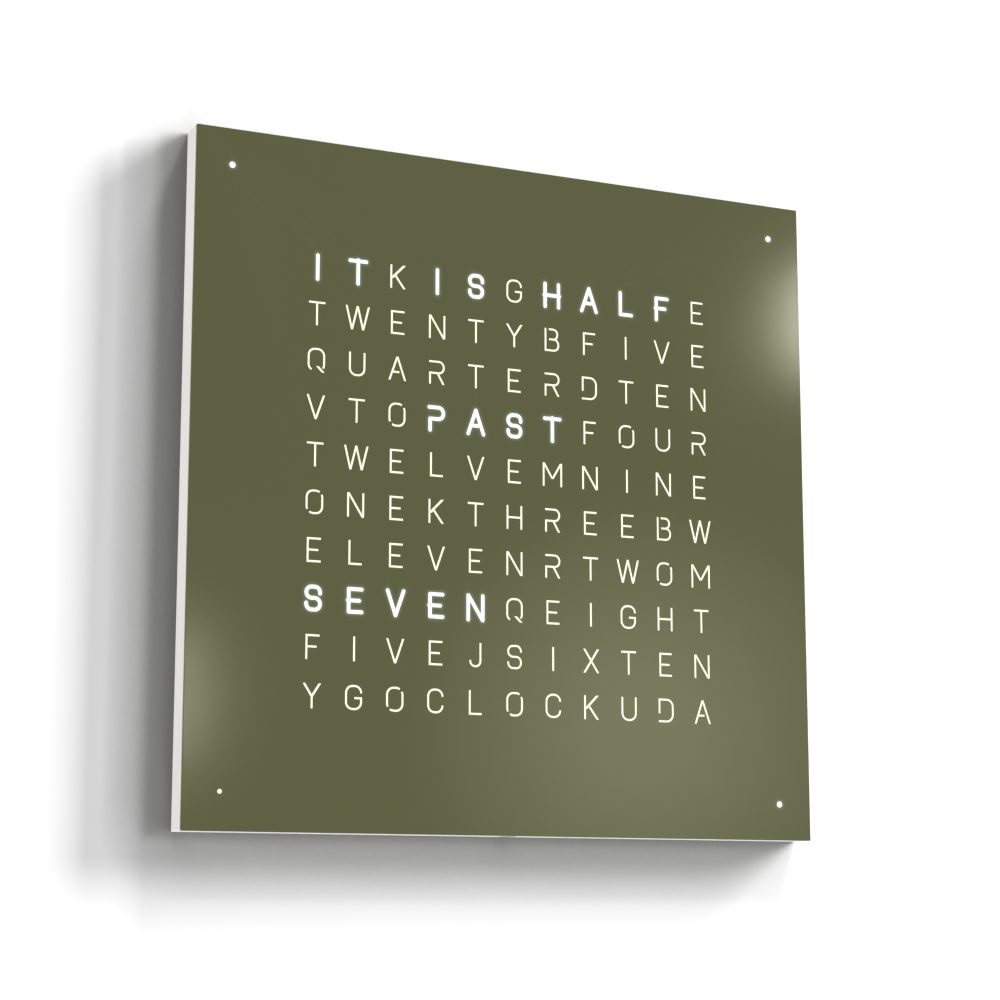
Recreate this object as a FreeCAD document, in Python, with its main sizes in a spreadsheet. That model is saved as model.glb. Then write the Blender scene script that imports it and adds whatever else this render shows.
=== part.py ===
import FreeCAD, Part
import os
import re
import Sketcher
from FreeCAD import Vector

# Wall clock that tells the time in lit words.
# A painted steel cover with cut-out letters lies on a lacquered board casing and is held by magnets.
# Behind it are an opal sheet, a moulded light grid, ten rows of lamps and a flush rear panel.
# Frame: X to the right, Z up, the room is at -Y. The origin is the centre of the back face.
# A depth in this file is a distance from the wall, so that depth d lies at Y = -d.

doc = FreeCAD.newDocument("word_clock")

# Driving dimensions, in millimetres, degrees or plain counts
driving = {
    # the whole clock
    "side": 450,
    "thickness": 20,
    "corner_round": 0.8,
    "back_bevel": 0.7,
    # letter field and minute points
    "columns": 11,
    "rows": 10,
    "field_side_margin": 69.625,
    "field_top_margin": 70,
    "point_inset": 24.4,
    "point_hole": 3,
    # cover with its welded studs, and the magnets that hold it
    "cover_sheet": 1.5,
    "stud_width": 4,
    "stud_length": 5,
    "magnet_width": 8,
    "magnet_length": 3,
    "magnet_spread": 130,
    # diffuser and light grid
    "diffuser_sheet": 0.8,
    "front_rim": 12.5,
    "grid_wall": 1.6,
    "grid_border": 2.2,
    "grid_draft": 1,
    # lamp strips and what joins them
    "strip_width": 10,
    "strip_board": 1,
    "lamp_side": 5,
    "lamp_height": 1.6,
    "link_width": 6,
    "link_thick": 0.4,
    "link_inset": 7,
    "lead_width": 3,
    "lead_thick": 0.8,
    # minute lamps in their wells
    "well_width": 16,
    "point_board": 10.5,
    # rear panel and its screws
    "panel_sheet": 2,
    "rear_rim": 11.5,
    "panel_round": 2,
    "screw_width": 3,
    "screw_length": 10,
    "screw_head": 5.6,
    "screw_countersink": 90,
    "screw_cross": 3.2,
    "screw_cross_slot": 0.7,
    "screw_cross_depth": 0.7,
    "bore_spare": 1,
    "screw_inset": 6,
    "side_screw_spread": 70,
    "top_screw_spread": 90,
    "bottom_screw_spread": 150,
    # keyholes that hang the clock
    "hanger_spread": 150,
    "hanger_drop": 29.2,
    "keyhole_entry": 9,
    "keyhole_slot": 4.5,
    "keyhole_rise": 10,
    "keyhole_margin": 3.5,
    "keyhole_hollow": 9,
    # electronics bay
    "bay_width": 250,
    "bay_wall": 6,
    "bay_roof": 2.7,
    "rim_wall": 12,
    # controller board
    "board_width": 180,
    "board_height": 36,
    "board_thick": 1.6,
    "board_edge_gap": 2.2,
    "board_round": 2,
    "spacer_height": 4,
    "spacer_width": 5,
    "board_screw_width": 2.5,
    "board_screw_head": 4.5,
    "board_screw_crown": 1.6,
    "board_screw_inset": 5,
    # power inlet
    "inlet_hole": 11.5,
    "jack_width": 9,
    "jack_length": 13,
    "jack_axis": 8.5,
    "jack_socket": 5.7,
    "jack_pin": 2,
    "socket_depth": 9.5,
    "pin_recess": 1,
    "jack_wing": 2.5,
    "jack_wing_length": 7,
    "jack_wing_thick": 1,
    # setting buttons
    "button_place": 42,
    "button_pitch": 14,
    "button_width": 5,
    "button_flange": 7.6,
    "button_flange_thick": 1,
    "button_recess": 0.4,
    "button_lip": 0.6,
    "button_dish": 0.3,
    "button_travel": 0.8,
    "switch_width": 6,
    "switch_length": 4.6,
    "switch_height": 4.4,
    "switch_nub": 3,
    "nub_reach": 1.2,
    "nub_depth": 1.8,
    # parts on the board
    "chip_side": 12,
    "chip_height": 1.4,
    "chip_place": -12,
    "timekeeper_width": 10.3,
    "timekeeper_height": 7.5,
    "timekeeper_rise": 2.3,
    "timekeeper_place": -32,
    "cell_width": 20,
    "cell_height": 3.2,
    "cell_place": -60,
    "holder_margin": 1.4,
    "holder_floor": 0.8,
    "capacitor_width": 6.3,
    "capacitor_height": 5.4,
    "capacitor_base": 6.6,
    "capacitor_foot": 0.9,
    "capacitor_place": 18,
    "plug_width": 12,
    "plug_height": 6,
    "ribbon_width": 8,
    "ribbon_thick": 0.9,
    "ribbon_column": 2,
    # clearances, each between one face and its neighbour
    "drop_gap": 0.3,
    "slide_gap": 0.15,
    "press_gap": 0.04,
    "cord_gap": 0.2,
}

# Pitches and places that the sheet works out from them
worked_out = {
    "column_pitch": "=(side - 2 * field_side_margin) / columns",
    "row_pitch": "=(side - 2 * field_top_margin) / rows",
    "point_reach": "=side / 2 - point_inset",
    "hanger_height": "=side / 2 - rear_rim - drop_gap - hanger_drop",
}

sizes = doc.addObject("Spreadsheet::Sheet", "Sizes")
for line, (word, entry) in enumerate({**driving, **worked_out}.items(), start=1):
    sizes.set(f"A{line}", word)
    sizes.set(f"B{line}", str(entry))
    sizes.setAlias(f"B{line}", word)
doc.recompute()

# Sizes and places that follow from the driving dimensions
casing_front = "(thickness - cover_sheet)"
grid_front = "(thickness - cover_sheet - diffuser_sheet)"
grid_depth = f"({grid_front} - panel_sheet)"
grid_width = "(columns * column_pitch + 2 * grid_border)"
grid_height = "(rows * row_pitch + 2 * grid_border)"
opening_width = f"({grid_width} + 2 * drop_gap)"
opening_height = f"({grid_height} + 2 * drop_gap)"
left_column = "(-(columns - 1) / 2 * column_pitch)"
top_row = "((rows - 1) / 2 * row_pitch)"
rim_middle = "(side / 2 - front_rim / 2)"
front_recess = "(side - 2 * front_rim)"
rear_recess = "(side - 2 * rear_rim)"
panel_side = f"({rear_recess} - 2 * drop_gap)"
screw_line = f"({panel_side} / 2 - screw_inset)"
rim_inside = "(side / 2 - rim_wall)"
bay_top = f"({opening_height} / 2 + bay_wall)"
bay_height = f"({rim_inside} - {bay_top})"
bay_front = f"({grid_front} - bay_roof)"
board_back = "(panel_sheet + spacer_height)"
board_front = f"({board_back} + board_thick)"
board_foot = f"({rim_inside} - board_edge_gap)"
board_middle = f"({board_foot} - board_height / 2)"
button_axis = f"({board_front} + switch_height / 2)"
flange_top = f"({rim_inside} - slide_gap - button_flange_thick)"
switch_foot = f"({flange_top} - nub_reach)"
strip_front = "(panel_sheet + strip_board)"
jack_front = f"({rim_inside} - drop_gap)"
plug_middle = f"({board_foot} - board_height + board_screw_inset + plug_height / 2)"
ribbon_place = "(-ribbon_column * column_pitch)"
head_rise = "((screw_head - screw_width) / 2 / tan(screw_countersink / 2))"
button_places = {
    "brightness": "button_place",
    "hour": "(button_place + button_pitch)",
    "minute": "(button_place + 2 * button_pitch)",
}
tolerance = 0.001
corners = {"top_left": (-1, 1), "top_right": (1, 1), "bottom_left": (-1, -1), "bottom_right": (1, -1)}


def sized(text):
    """Point every size word of an expression, but no function, at its cell in the sheet."""
    return re.sub(r"\b[a-z_]+\b(?!\()", lambda found: "Sizes." + found.group(), text)


def new_body(label):
    body = doc.addObject("PartDesign::Body", label)
    body.Label = label
    return body


def origin_plane(body, role):
    return next(plane for plane in body.Origin.OriginFeatures if plane.Role == role)


def wall_sketch(body, name, depth):
    """A sketch parallel to the wall: its x is X, its y is Z, and it faces the room."""
    sketch = body.newObject("Sketcher::SketchObject", name)
    sketch.AttachmentSupport = [(origin_plane(body, "XZ_Plane"), "")]
    sketch.MapMode = "FlatFace"
    sketch.setExpression("AttachmentOffset.Base.z", sized(depth))
    return sketch


def level_sketch(body, name, height):
    """A sketch parallel to the floor: its x is X, its y is Y, and it faces up."""
    sketch = body.newObject("Sketcher::SketchObject", name)
    sketch.AttachmentSupport = [(origin_plane(body, "XY_Plane"), "")]
    sketch.MapMode = "FlatFace"
    sketch.setExpression("AttachmentOffset.Base.z", sized(height))
    return sketch


def drive(sketch, constraint, text):
    """Add a dimension to a sketch and bind it to the sheet."""
    number = sketch.addConstraint(constraint)
    sketch.setExpression(f"Constraints[{number}]", sized(text))


def rectangle(sketch, middle_x, middle_y, width, height):
    corner = [Vector(0, 0, 0), Vector(1, 0, 0), Vector(1, 1, 0), Vector(0, 1, 0)]
    lines = [
        sketch.addGeometry(Part.LineSegment(corner[index], corner[(index + 1) % 4]), False)
        for index in range(4)
    ]
    for index in range(4):
        sketch.addConstraint(
            Sketcher.Constraint("Coincident", lines[index], 2, lines[(index + 1) % 4], 1)
        )
    for index in (0, 2):
        sketch.addConstraint(Sketcher.Constraint("Horizontal", lines[index]))
        sketch.addConstraint(Sketcher.Constraint("Vertical", lines[index + 1]))
    drive(sketch, Sketcher.Constraint("DistanceX", -1, 1, lines[0], 1, 0.0), f"{middle_x} - {width} / 2")
    drive(sketch, Sketcher.Constraint("DistanceY", -1, 1, lines[0], 1, 0.0), f"{middle_y} - {height} / 2")
    drive(sketch, Sketcher.Constraint("DistanceX", lines[0], 1, lines[0], 2, 1.0), width)
    drive(sketch, Sketcher.Constraint("DistanceY", lines[1], 1, lines[1], 2, 1.0), height)


def circle(sketch, middle_x, middle_y, diameter):
    ring = sketch.addGeometry(Part.Circle(Vector(0, 0, 0), Vector(0, 0, 1), 1), False)
    drive(sketch, Sketcher.Constraint("DistanceX", -1, 1, ring, 3, 0.0), middle_x)
    drive(sketch, Sketcher.Constraint("DistanceY", -1, 1, ring, 3, 0.0), middle_y)
    drive(sketch, Sketcher.Constraint("Radius", ring, 1.0), f"{diameter} / 2")


def pad(body, sketch, length, name):
    feature = body.newObject("PartDesign::Pad", name)
    feature.Profile = sketch
    feature.setExpression("Length", sized(length))
    return feature


def pocket(body, sketch, length, name, outwards=False):
    """Cut from the sketch against the way that it faces, or the way that it faces if outwards."""
    feature = body.newObject("PartDesign::Pocket", name)
    feature.Profile = sketch
    feature.Reversed = outwards
    feature.setExpression("Length", sized(length))
    return feature


def repeat(body, feature, sketch, axis, pitch, count, name):
    """Repeat a feature along one axis of its sketch."""
    pattern = body.newObject("PartDesign::LinearPattern", name)
    pattern.Originals = [feature]
    pattern.Direction = (sketch, [axis])
    pattern.setExpression("Length", sized(f"{pitch} * ({count} - 1)"))
    pattern.setExpression("Occurrences", sized(count))
    body.Tip = pattern
    return pattern


def depth_edges(shape):
    """Names of the edges of a plain sheet or block that run from its back to its front."""
    thickness = shape.BoundBox.YLength
    return [
        f"Edge{index}" for index, edge in enumerate(shape.Edges, start=1)
        if abs(edge.BoundBox.YLength - thickness) < tolerance
    ]


def round_edges(body, feature, names, radius, name):
    fillet = body.newObject("PartDesign::Fillet", name)
    fillet.Base = (feature, names)
    fillet.setExpression("Radius", sized(radius))
    return fillet


# Front cover: sheet steel, level with the casing on all four sides, with four welded studs behind
cover = new_body("front_cover")
outline = wall_sketch(cover, "cover_outline", casing_front)
rectangle(outline, "0", "0", "side", "side")
cover_pad = pad(cover, outline, "cover_sheet", "cover_plate")
doc.recompute()
round_edges(cover, cover_pad, depth_edges(cover_pad.Shape), "corner_round", "cover_corners")
points = wall_sketch(cover, "minute_points", "thickness")
studs = wall_sketch(cover, "stud_circles", f"{casing_front} - stud_length")
for across, up in corners.values():
    circle(points, f"{across} * point_reach", f"{up} * point_reach", "point_hole")
    circle(studs, f"{across} * {rim_middle}", f"{up} * {rim_middle}", "stud_width")
pocket(cover, points, "cover_sheet", "minute_holes")
pad(cover, studs, "stud_length", "welded_studs")

# Diffuser: opal sheet that lies loose in the front recess and covers letters and minute points
diffuser = new_body("diffuser_sheet")
outline = wall_sketch(diffuser, "diffuser_outline", grid_front)
rectangle(outline, "0", "0", f"({front_recess} - 2 * drop_gap)", f"({front_recess} - 2 * drop_gap)")
pad(diffuser, outline, "diffuser_sheet", "diffuser_plate")

# Light grid: one moulding with a tapered cell for each letter, notched over strips, links and ribbon
grid = new_body("light_grid")
outline = wall_sketch(grid, "grid_outline", "panel_sheet")
rectangle(outline, "0", "0", grid_width, grid_height)
pad(grid, outline, grid_depth, "grid_block")
notch = wall_sketch(grid, "strip_notch", "panel_sheet")
rectangle(notch, "0", top_row, f"({grid_width} + 2 * grid_border)",
          "(strip_width + 2 * drop_gap)")
notch_pocket = pocket(grid, notch, "strip_board + cord_gap", "notch", outwards=True)
notches = repeat(grid, notch_pocket, notch, "V_Axis", "row_pitch", "rows", "notches")
notches.Reversed = True
channels = wall_sketch(grid, "link_channels", "panel_sheet")
for across in (-1, 1):
    rectangle(channels, f"{across} * (columns * column_pitch / 2 - link_inset)", "0",
              "(link_width + 2 * drop_gap)", "((rows - 1) * row_pitch)")
pocket(grid, channels, "link_thick + cord_gap", "link_ways", outwards=True)
slot = wall_sketch(grid, "ribbon_slot", "panel_sheet")
rectangle(slot, ribbon_place, f"(-({grid_height} / 2 + {top_row}) / 2)", "(ribbon_width + 2 * drop_gap)",
          f"({grid_height} / 2 - {top_row})")
pocket(grid, slot, "ribbon_thick + cord_gap", "ribbon_way", outwards=True)
cell = wall_sketch(grid, "first_cell", grid_front)
rectangle(cell, left_column, top_row, "(column_pitch - grid_wall)", "(row_pitch - grid_wall)")
cell_pocket = pocket(grid, cell, grid_depth, "cell")
cell_pocket.setExpression("TaperAngle", sized("-grid_draft"))
doc.recompute()
cells = grid.newObject("PartDesign::LinearPattern", "cells")
cells.Originals = [cell_pocket]
cells.Direction = (cell, ["H_Axis"])
cells.setExpression("Length", sized("column_pitch * (columns - 1)"))
cells.setExpression("Occurrences", sized("columns"))
cells.Direction2 = (cell, ["V_Axis"])
cells.Reversed2 = True
cells.setExpression("Length2", sized("row_pitch * (rows - 1)"))
cells.setExpression("Occurrences2", sized("rows"))
grid.Tip = cells
doc.recompute()

# Casing: a routed and lacquered board
casing = new_body("casing")
outline = wall_sketch(casing, "casing_outline", "0")
rectangle(outline, "0", "0", "side", "side")
block = pad(casing, outline, casing_front, "casing_block")
doc.recompute()
rounded = round_edges(casing, block, depth_edges(block.Shape), "corner_round", "casing_corners")
doc.recompute()
back_edges = [
    f"Edge{index}" for index, edge in enumerate(rounded.Shape.Edges, start=1)
    if edge.BoundBox.YMin > -tolerance
]
bevel = casing.newObject("PartDesign::Chamfer", "back_edge_bevel")
bevel.Base = (rounded, back_edges)
bevel.setExpression("Size", sized("back_bevel"))

front = wall_sketch(casing, "front_recess", casing_front)
rectangle(front, "0", "0", front_recess, front_recess)
pocket(casing, front, "diffuser_sheet", "diffuser_seat")

rear = wall_sketch(casing, "rear_recess", "0")
rectangle(rear, "0", "0", rear_recess, rear_recess)
panel_seat = pocket(casing, rear, "panel_sheet", "panel_seat", outwards=True)
doc.recompute()
seat_corners = [
    f"Edge{index}" for index, edge in enumerate(panel_seat.Shape.Edges, start=1)
    if abs(edge.BoundBox.YLength - sizes.panel_sheet) < tolerance
    and abs(edge.BoundBox.YMax) < tolerance
]
round_edges(casing, panel_seat, seat_corners, "panel_round", "panel_seat_corners")

opening = wall_sketch(casing, "light_opening", "panel_sheet")
rectangle(opening, "0", "0", opening_width, opening_height)
pocket(casing, opening, grid_depth, "light_well", outwards=True)

bay = wall_sketch(casing, "electronics_bay", "panel_sheet")
rectangle(bay, "0", f"(-({bay_top} + {rim_inside}) / 2)", "bay_width", bay_height)
pocket(casing, bay, f"{bay_front} - panel_sheet", "bay", outwards=True)

wells = wall_sketch(casing, "minute_wells", "panel_sheet")
for across, up in corners.values():
    circle(wells, f"{across} * point_reach", f"{up} * point_reach", "well_width")
pocket(casing, wells, grid_depth, "minute_well_bores", outwards=True)

groove_width = "(lead_width + 2 * cord_gap)"
groove_run = f"(point_reach + {groove_width} / 2 - {opening_width} / 2)"
for direction in ("down", "across"):
    grooves = wall_sketch(casing, f"lead_grooves_{direction}", "panel_sheet")
    for across, up in corners.values():
        if direction == "down":
            rectangle(grooves, f"{across} * point_reach", f"{up} * (point_reach + {top_row}) / 2",
                      groove_width, f"(point_reach - {top_row})")
        else:
            rectangle(grooves, f"{across} * (point_reach + {groove_width} / 2 - {groove_run} / 2)",
                      f"{up} * {top_row}", groove_run, groove_width)
    pocket(casing, grooves, "lead_thick + cord_gap", f"lead_grooves_cut_{direction}", outwards=True)

passage = wall_sketch(casing, "ribbon_passage", "panel_sheet")
rectangle(passage, ribbon_place, f"(-({opening_height} / 2 + bay_wall / 2))",
          "(ribbon_width + 2 * drop_gap)", "(bay_wall + 2 * drop_gap)")
pocket(casing, passage, "ribbon_thick + cord_gap", "ribbon_passage_cut", outwards=True)

magnet_places = [
    (f"{across} * {rim_middle}", f"{along} * magnet_spread") for across in (-1, 1) for along in (-1, 0, 1)
]
magnet_places += [(up_first, across_first) for across_first, up_first in magnet_places]
seats = wall_sketch(casing, "magnet_seats", casing_front)
for middle_x, middle_z in magnet_places:
    circle(seats, middle_x, middle_z, "(magnet_width + 2 * press_gap)")
pocket(casing, seats, "magnet_length", "magnet_bores")

stud_bores = wall_sketch(casing, "stud_bores", casing_front)
for across, up in corners.values():
    circle(stud_bores, f"{across} * {rim_middle}", f"{up} * {rim_middle}", "(stud_width + 2 * slide_gap)")
pocket(casing, stud_bores, "stud_length + bore_spare", "stud_bores_cut")

hollows = wall_sketch(casing, "keyhole_hollows", "panel_sheet")
for across in (-1, 1):
    rectangle(hollows, f"{across} * hanger_spread", "(hanger_height + keyhole_rise / 2)",
              "(keyhole_entry + 2 * keyhole_margin)",
              "(keyhole_entry / 2 + keyhole_slot / 2 + keyhole_rise + 2 * keyhole_margin)")
pocket(casing, hollows, "keyhole_hollow", "keyhole_hollows_cut", outwards=True)

screw_places = [
    (f"{across} * {screw_line}", f"{up} * side_screw_spread") for across in (-1, 1) for up in (-1, 1)
]
screw_places += [(f"{across} * top_screw_spread", screw_line) for across in (-1, 1)]
screw_places += [(f"{across} * bottom_screw_spread", f"(-{screw_line})") for across in (-1, 1)]
pilots = wall_sketch(casing, "screw_pilots", "panel_sheet")
for middle_x, middle_z in screw_places:
    circle(pilots, middle_x, middle_z, "(screw_width + 2 * press_gap)")
pocket(casing, pilots, "screw_length", "screw_pilot_bores", outwards=True)

underside = level_sketch(casing, "button_bores", f"(-{rim_inside})")
for place in button_places.values():
    circle(underside, place, f"(-{button_axis})", "(button_width + 2 * slide_gap)")
pocket(casing, underside, "rim_wall", "button_bores_cut")

inlet = level_sketch(casing, "inlet_bore", f"(-{rim_inside})")
circle(inlet, "0", "(-jack_axis)", "inlet_hole")
pocket(casing, inlet, "rim_wall", "inlet_bore_cut")

# Rear panel: aluminium sheet, flush with the casing, with two keyholes and countersunk screw holes
panel = new_body("rear_panel")
outline = wall_sketch(panel, "panel_outline", "0")
rectangle(outline, "0", "0", panel_side, panel_side)
panel_pad = pad(panel, outline, "panel_sheet", "panel_plate")
doc.recompute()
round_edges(panel, panel_pad, depth_edges(panel_pad.Shape), "panel_round", "panel_corners")
entries = wall_sketch(panel, "keyhole_entries", "0")
for across in (-1, 1):
    circle(entries, f"{across} * hanger_spread", "hanger_height", "keyhole_entry")
pocket(panel, entries, "panel_sheet", "keyhole_entry_holes", outwards=True)
slots = wall_sketch(panel, "keyhole_slots", "0")
for across in (-1, 1):
    rectangle(slots, f"{across} * hanger_spread", "(hanger_height + keyhole_rise / 2)",
              "keyhole_slot", "keyhole_rise")
pocket(panel, slots, "panel_sheet", "keyhole_slots_cut", outwards=True)
slot_ends = wall_sketch(panel, "keyhole_slot_ends", "0")
for across in (-1, 1):
    circle(slot_ends, f"{across} * hanger_spread", "(hanger_height + keyhole_rise)", "keyhole_slot")
pocket(panel, slot_ends, "panel_sheet", "keyhole_slot_ends_cut", outwards=True)
doc.recompute()
hole_circles = wall_sketch(panel, "screw_holes", "0")
for middle_x, middle_z in screw_places:
    circle(hole_circles, middle_x, middle_z, "screw_width")
holes = panel.newObject("PartDesign::Hole", "countersunk_holes")
holes.Profile = hole_circles
doc.recompute()
holes.ThreadType = "None"
holes.HoleCutType = "Countersink"
holes.HoleCutCustomValues = True
holes.DepthType = "ThroughAll"
holes.Reversed = True
holes.setExpression("HoleCutCountersinkAngle", sized("screw_countersink"))
holes.setExpression("Diameter", sized("screw_width + 2 * slide_gap"))
holes.setExpression("HoleCutDiameter", sized("screw_head + 2 * slide_gap"))
doc.recompute()


def place(body, middle_x, depth, middle_z):
    """Put a piece that is drawn about its own origin in its place on the clock."""
    body.setExpression("Placement.Base.x", sized(middle_x))
    body.setExpression("Placement.Base.y", sized(f"-{depth}"))
    body.setExpression("Placement.Base.z", sized(middle_z))


def block_body(label, depth, middle_x, middle_z, width, height, length):
    """A flat block that stands on a depth and grows towards the room."""
    body = new_body(label)
    sketch = wall_sketch(body, f"{label}_outline", depth)
    rectangle(sketch, middle_x, middle_z, width, height)
    pad(body, sketch, length, f"{label}_block")
    return body


# Lamp strips: a strip board for each row, stuck to the rear panel, with one lamp behind each letter
for row in range(int(sizes.rows)):
    row_height = f"({top_row} - {row} * row_pitch)"
    strip = block_body(f"lamp_strip_{row + 1:02d}", "panel_sheet", "0", "0",
                       f"({grid_width} - 2 * drop_gap)", "strip_width", "strip_board")
    place(strip, "0", "0", row_height)
    lamps = new_body(f"lamps_row_{row + 1:02d}")
    first_lamp = wall_sketch(lamps, f"first_lamp_{row + 1:02d}", strip_front)
    rectangle(first_lamp, left_column, "0", "lamp_side", "lamp_side")
    lamp = pad(lamps, first_lamp, "lamp_height", f"lamp_{row + 1:02d}")
    repeat(lamps, lamp, first_lamp, "H_Axis", "column_pitch", "columns", f"row_of_lamps_{row + 1:02d}")
    place(lamps, "0", "0", row_height)

# Strip links: flat leads that join each strip to the next, at the right and the left in turn
links = new_body("strip_links")
link_outline = wall_sketch(links, "link_outlines", "panel_sheet")
for row in range(int(sizes.rows) - 1):
    across = 1 if row % 2 == 0 else -1
    rectangle(link_outline, f"{across} * (columns * column_pitch / 2 - link_inset)",
              f"({top_row} - {row + 0.5} * row_pitch)", "link_width", "(row_pitch - strip_width)")
pad(links, link_outline, "link_thick", "links")

# Minute points: a small board with one lamp in each corner well, and the lead to the nearest strip
for corner, (across, up) in corners.items():
    point_board = block_body(f"minute_board_{corner}", "panel_sheet", "0", "0",
                             "point_board", "point_board", "strip_board")
    place(point_board, f"{across} * point_reach", "0", f"{up} * point_reach")
minute_lamps = new_body("minute_lamps")
lamp_outlines = wall_sketch(minute_lamps, "minute_lamp_outlines", strip_front)
leads = new_body("minute_leads")
leads_down = wall_sketch(leads, "leads_down", "panel_sheet")
leads_across = wall_sketch(leads, "leads_across", "panel_sheet")
strip_end = f"({grid_width} / 2 - drop_gap)"
for across, up in corners.values():
    rectangle(lamp_outlines, f"{across} * point_reach", f"{up} * point_reach", "lamp_side", "lamp_side")
    rectangle(leads_down, f"{across} * point_reach",
              f"{up} * (point_reach - point_board / 2 + {top_row} - lead_width / 2) / 2",
              "lead_width", f"(point_reach - point_board / 2 - {top_row} + lead_width / 2)")
    rectangle(leads_across, f"{across} * ({strip_end} + point_reach + lead_width / 2) / 2",
              f"{up} * {top_row}", f"(point_reach + lead_width / 2 - {strip_end})", "lead_width")
pad(minute_lamps, lamp_outlines, "lamp_height", "minute_lamp_blocks")
pad(leads, leads_down, "lead_thick", "lead_runs_down")
pad(leads, leads_across, "lead_thick", "lead_runs_across")

# Magnets: discs pressed into the rim, level with it
magnets = new_body("magnets")
discs = wall_sketch(magnets, "magnet_discs", f"({casing_front} - magnet_length)")
for middle_x, middle_z in magnet_places:
    circle(discs, middle_x, middle_z, "magnet_width")
pad(magnets, discs, "magnet_length", "magnet_bodies")

# Panel screws: countersunk cross-head screws into the board of the casing
screws = new_body("panel_screws")
heads = wall_sketch(screws, "screw_heads", "0")
shanks = wall_sketch(screws, "screw_shanks", head_rise)
crosses = {way: wall_sketch(screws, f"cross_{way}", "0") for way in ("wide", "tall")}
for middle_x, middle_z in screw_places:
    circle(heads, middle_x, middle_z, "screw_head")
    circle(shanks, middle_x, middle_z, "screw_width")
    rectangle(crosses["wide"], middle_x, middle_z, "screw_cross", "screw_cross_slot")
    rectangle(crosses["tall"], middle_x, middle_z, "screw_cross_slot", "screw_cross")
head_pad = pad(screws, heads, head_rise, "countersunk_heads")
head_pad.setExpression("TaperAngle", sized("-screw_countersink / 2"))
pad(screws, shanks, f"panel_sheet + screw_length - bore_spare - {head_rise}", "shanks")
for way, sketch in crosses.items():
    pocket(screws, sketch, "screw_cross_depth", f"cross_{way}_cut", outwards=True)

# Controller board: notched for the power jack and screwed to four spacers on the rear panel
screw_columns = "(board_width / 2 - board_screw_inset)"
screw_rows = "(board_height / 2 - board_screw_inset)"
board_screw_places = [
    (f"{across} * {screw_columns}", f"({up} * {screw_rows} - {board_middle})")
    for across, up in corners.values()
]
board = new_body("controller_board")
outline = wall_sketch(board, "board_outline", board_back)
rectangle(outline, "0", f"(-{board_middle})", "board_width", "board_height")
board_pad = pad(board, outline, "board_thick", "board_plate")
doc.recompute()
round_edges(board, board_pad, depth_edges(board_pad.Shape), "board_round", "board_corners")
notch_top = f"({jack_front} - jack_length - drop_gap)"
jack_notch = wall_sketch(board, "jack_notch", board_back)
rectangle(jack_notch, "0", f"(-({rim_inside} + {notch_top}) / 2)",
          "(jack_width + 2 * drop_gap)", f"({rim_inside} - {notch_top})")
pocket(board, jack_notch, "board_thick", "jack_notch_cut", outwards=True)
screw_holes = wall_sketch(board, "board_screw_holes", board_back)
spacers = new_body("board_spacers")
tubes = wall_sketch(spacers, "spacer_tubes", "panel_sheet")
board_screws = new_body("board_screws")
screw_shafts = wall_sketch(board_screws, "board_screw_shafts", "(panel_sheet + bore_spare)")
screw_crowns = wall_sketch(board_screws, "board_screw_crowns", board_front)
for middle_x, middle_z in board_screw_places:
    circle(screw_holes, middle_x, middle_z, "(board_screw_width + 2 * slide_gap)")
    circle(tubes, middle_x, middle_z, "spacer_width")
    circle(tubes, middle_x, middle_z, "(board_screw_width + 2 * press_gap)")
    circle(screw_shafts, middle_x, middle_z, "board_screw_width")
    circle(screw_crowns, middle_x, middle_z, "board_screw_head")
pocket(board, screw_holes, "board_thick", "board_screw_holes_cut", outwards=True)
pad(spacers, tubes, "spacer_height", "spacer_bodies")
pad(board_screws, screw_shafts, "spacer_height + board_thick - bore_spare", "board_shafts")
pad(board_screws, screw_crowns, "board_screw_crown", "board_crowns")

# Power jack: a moulded socket sunk in the notch of the board, with two wings that rest on it
jack = new_body("power_jack")
jack_block = level_sketch(jack, "jack_section", f"(-{jack_front})")
rectangle(jack_block, "0", "(-jack_axis)", "jack_width", "jack_width")
pad(jack, jack_block, "jack_length", "jack_block")
wings = wall_sketch(jack, "jack_wings", board_front)
rectangle(wings, "0", f"(-({jack_front} - jack_length / 2))", "(jack_width + 2 * jack_wing)",
          "jack_wing_length")
pad(jack, wings, "jack_wing_thick", "wings")
socket = level_sketch(jack, "jack_socket", f"(-{jack_front})")
circle(socket, "0", "(-jack_axis)", "jack_socket")
pocket(jack, socket, "socket_depth", "socket", outwards=True)
pin = new_body("power_pin")
pin_section = level_sketch(pin, "pin_section", f"(pin_recess - {jack_front})")
circle(pin_section, "0", "(-jack_axis)", "jack_pin")
pad(pin, pin_section, "socket_depth - pin_recess", "pin")

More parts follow.
